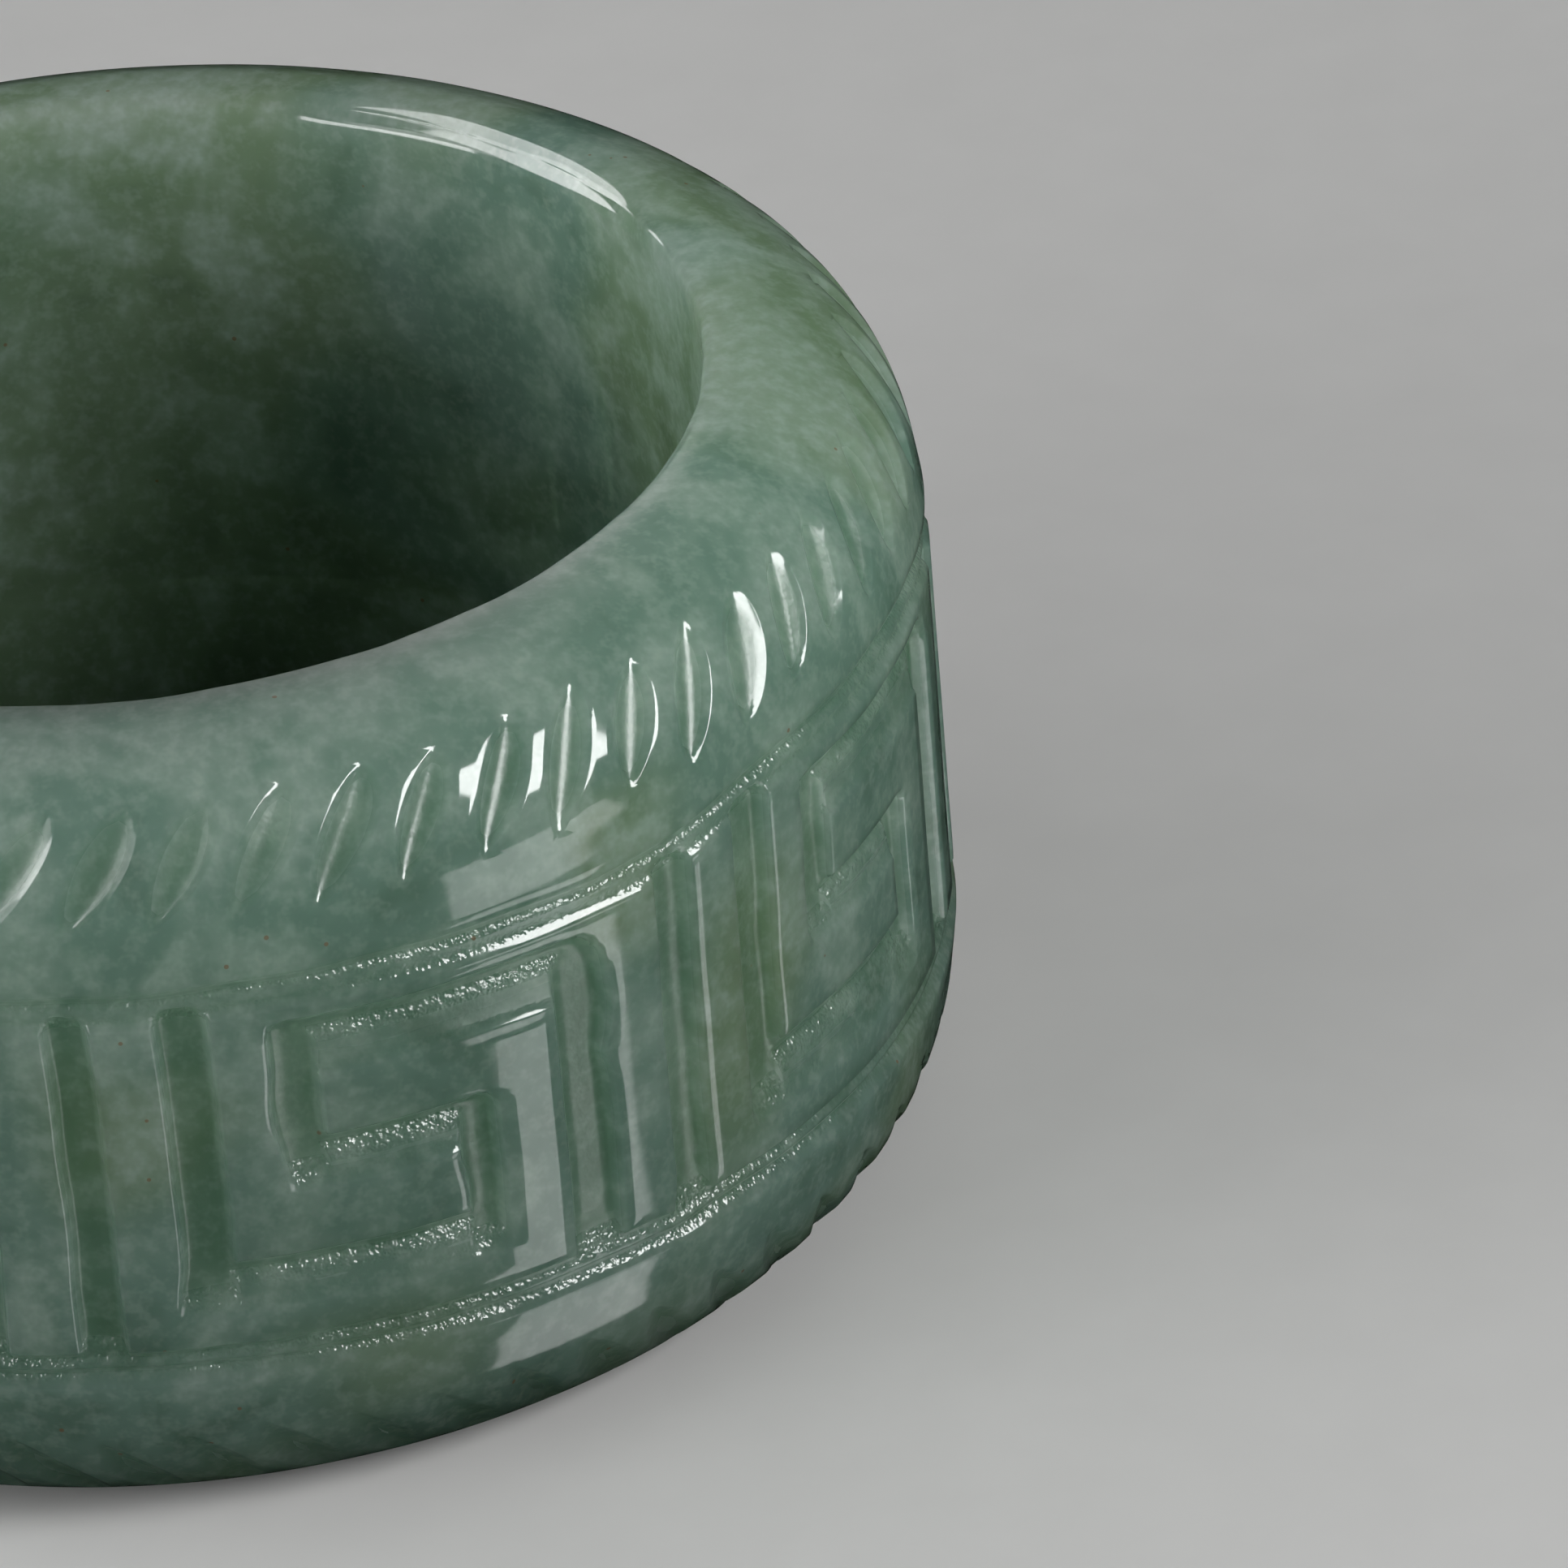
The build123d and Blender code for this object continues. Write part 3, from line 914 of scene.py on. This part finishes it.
forward = Vector((sin(YAW) * cos(PITCH), cos(YAW) * cos(PITCH), -sin(PITCH)))
level_right = Vector((cos(YAW), -sin(YAW), 0))
level_up = level_right.cross(forward)
right = cos(ROLL) * level_right + sin(ROLL) * level_up
up = cos(ROLL) * level_up - sin(ROLL) * level_right
lens = bpy.data.cameras.new("view")
lens.lens = FOCAL_PIXELS * lens.sensor_width / FRAME_WIDTH
lens.clip_start, lens.clip_end = 10 * MM, 10
camera = bpy.data.objects.new("view", lens)
turned = Matrix((right, up, -forward)).transposed().to_4x4()
camera.matrix_world = Matrix.Translation(CAMERA_PLACE) @ turned
bpy.context.scene.collection.objects.link(camera)
bpy.context.scene.camera = camera
print(f"lens {lens.lens:.1f} mm")

# %% [markdown]
# One tall soft box, the key, stands to the right of the front. A low one lights the left, a wide
# dim one the left side and a faint one the back, under an almost black sky. Polished walls also
# mirror the key from below, as long pale strips. A pale sheet would wash those out, so the stone
# doesn't see the floor, and two panels under it stand for that mirror image. They, and the panel
# that draws the streak on the worn edge, only show as reflections.

# %% Lights
LIGHT_DISTANCE = 250 * MM

# Angles are in degrees, round from the front and up from the ring's middle
Panel = namedtuple(
    "Panel", "name azimuth foot head spread radiance lean lights shines", defaults=(0, True, True)
)
PANELS = [
    Panel("key", azimuth=56.2, foot=17, head=44, spread=19.6, radiance=12.5),
    Panel("left", azimuth=-60, foot=5, head=22, spread=40, radiance=6.0),
    Panel("back", azimuth=140, foot=50, head=75, spread=40, radiance=0.5, shines=False),
    Panel("side", azimuth=-92, foot=14, head=40, spread=66, radiance=1.8),
    Panel("streak", azimuth=-111, foot=12, head=62, spread=48, radiance=4.5, lights=False),
    Panel(
        "mirrored_head", azimuth=50, foot=-18.5, head=-7, spread=25, radiance=1.9,
        lean=15, lights=False,
    ),
    Panel(
        "mirrored_foot", azimuth=56.5, foot=-51, head=-27, spread=18, radiance=1.8,
        lean=13, lights=False,
    ),
]


def soft_box(panel):
    """A soft panel that faces the ring."""
    height = 2 * LIGHT_DISTANCE * tan(radians(panel.head - panel.foot) / 2)
    width = 2 * LIGHT_DISTANCE * tan(radians(panel.spread) / 2)
    light = bpy.data.lights.new(panel.name, "AREA")
    light.shape = "RECTANGLE"
    light.size, light.size_y = width, height
    light.energy = panel.radiance * pi * width * height
    elevation, turn = radians(panel.foot + panel.head) / 2, radians(panel.azimuth)
    way = Vector((sin(turn) * cos(elevation), -cos(turn) * cos(elevation), sin(elevation)))
    placed = bpy.data.objects.new(panel.name, light)
    placed.location = way * LIGHT_DISTANCE + Vector((0, 0, middle))
    placed.rotation_mode = "QUATERNION"
    leaning = Quaternion((0, 0, 1), radians(panel.lean))
    placed.rotation_quaternion = way.to_track_quat("Z", "Y") @ leaning
    placed.visible_camera = False
    placed.visible_diffuse = panel.lights
    placed.visible_glossy = panel.shines
    bpy.context.scene.collection.objects.link(placed)


for panel in PANELS:
    soft_box(panel)
print(len(PANELS), "panels")

# %% [markdown]
# The sky only keeps the darkest places from going black. It is a little lighter overhead than at
# the horizon, as a dim room is.

# %% Sky
SKY_LOW, SKY_HIGH = 0.004, 0.03
SKY_COLOUR = (0.95, 1.0, 0.98, 1)

sky = bpy.data.worlds.new("sky")
sky.use_nodes = True
bpy.context.scene.world = sky
sky_nodes, sky_links = sky.node_tree.nodes, sky.node_tree.links
direction = sky_nodes.new("ShaderNodeTexCoord")
split = sky_nodes.new("ShaderNodeSeparateXYZ")
above_floor = sky_nodes.new("ShaderNodeMapRange")
above_floor.inputs["To Min"].default_value = SKY_LOW
above_floor.inputs["To Max"].default_value = SKY_HIGH
sky_links.new(direction.outputs["Generated"], split.inputs[0])
sky_links.new(split.outputs["Z"], above_floor.inputs["Value"])
sky_links.new(above_floor.outputs[0], sky_nodes["Background"].inputs["Strength"])
sky_nodes["Background"].inputs["Color"].default_value = SKY_COLOUR
bpy.context.scene.view_settings.view_transform = "Standard"
print("sky:", SKY_LOW, "to", SKY_HIGH)

# %% [markdown]
# The floor is one large pale plane, matt and without a seam. The ring casts its shadow on it, but
# the floor sends no light and no reflection back to the stone.

# %% Floor
FLOOR_REACH = 3.0
PAPER_GRAIN = 2 * MM
PAPER_DARKER, PAPER_LIGHTER = (0.74, 0.74, 0.73, 1), (0.79, 0.79, 0.78, 1)
PAPER_ROUGHNESS = 0.8


def pale_floor():
    """A matt pale sheet that takes the ring's shadow."""
    work = bmesh.new()
    bmesh.ops.create_grid(work, x_segments=1, y_segments=1, size=FLOOR_REACH)
    mesh = bpy.data.meshes.new("floor")
    work.to_mesh(mesh)
    work.free()
    finish = Finish("pale_paper")
    place = finish.node("ShaderNodeTexCoord", None, None, "Object")
    tone = finish.mix(finish.noise(place, PAPER_GRAIN, 3), PAPER_DARKER, PAPER_LIGHTER)
    sheet = finish.node(
        "ShaderNodeBsdfPrincipled", None, {"Base Color": tone, "Roughness": PAPER_ROUGHNESS}, "BSDF"
    )
    finish.node("ShaderNodeOutputMaterial", None, {"Surface": sheet})
    mesh.materials.append(finish.material)
    floor = bpy.data.objects.new("floor", mesh)
    bpy.context.scene.collection.objects.link(floor)
    return floor


floor = pale_floor()
floor.visible_diffuse = floor.visible_glossy = floor.visible_shadow = False
print("floor:", FLOOR_REACH * 2, "m wide")
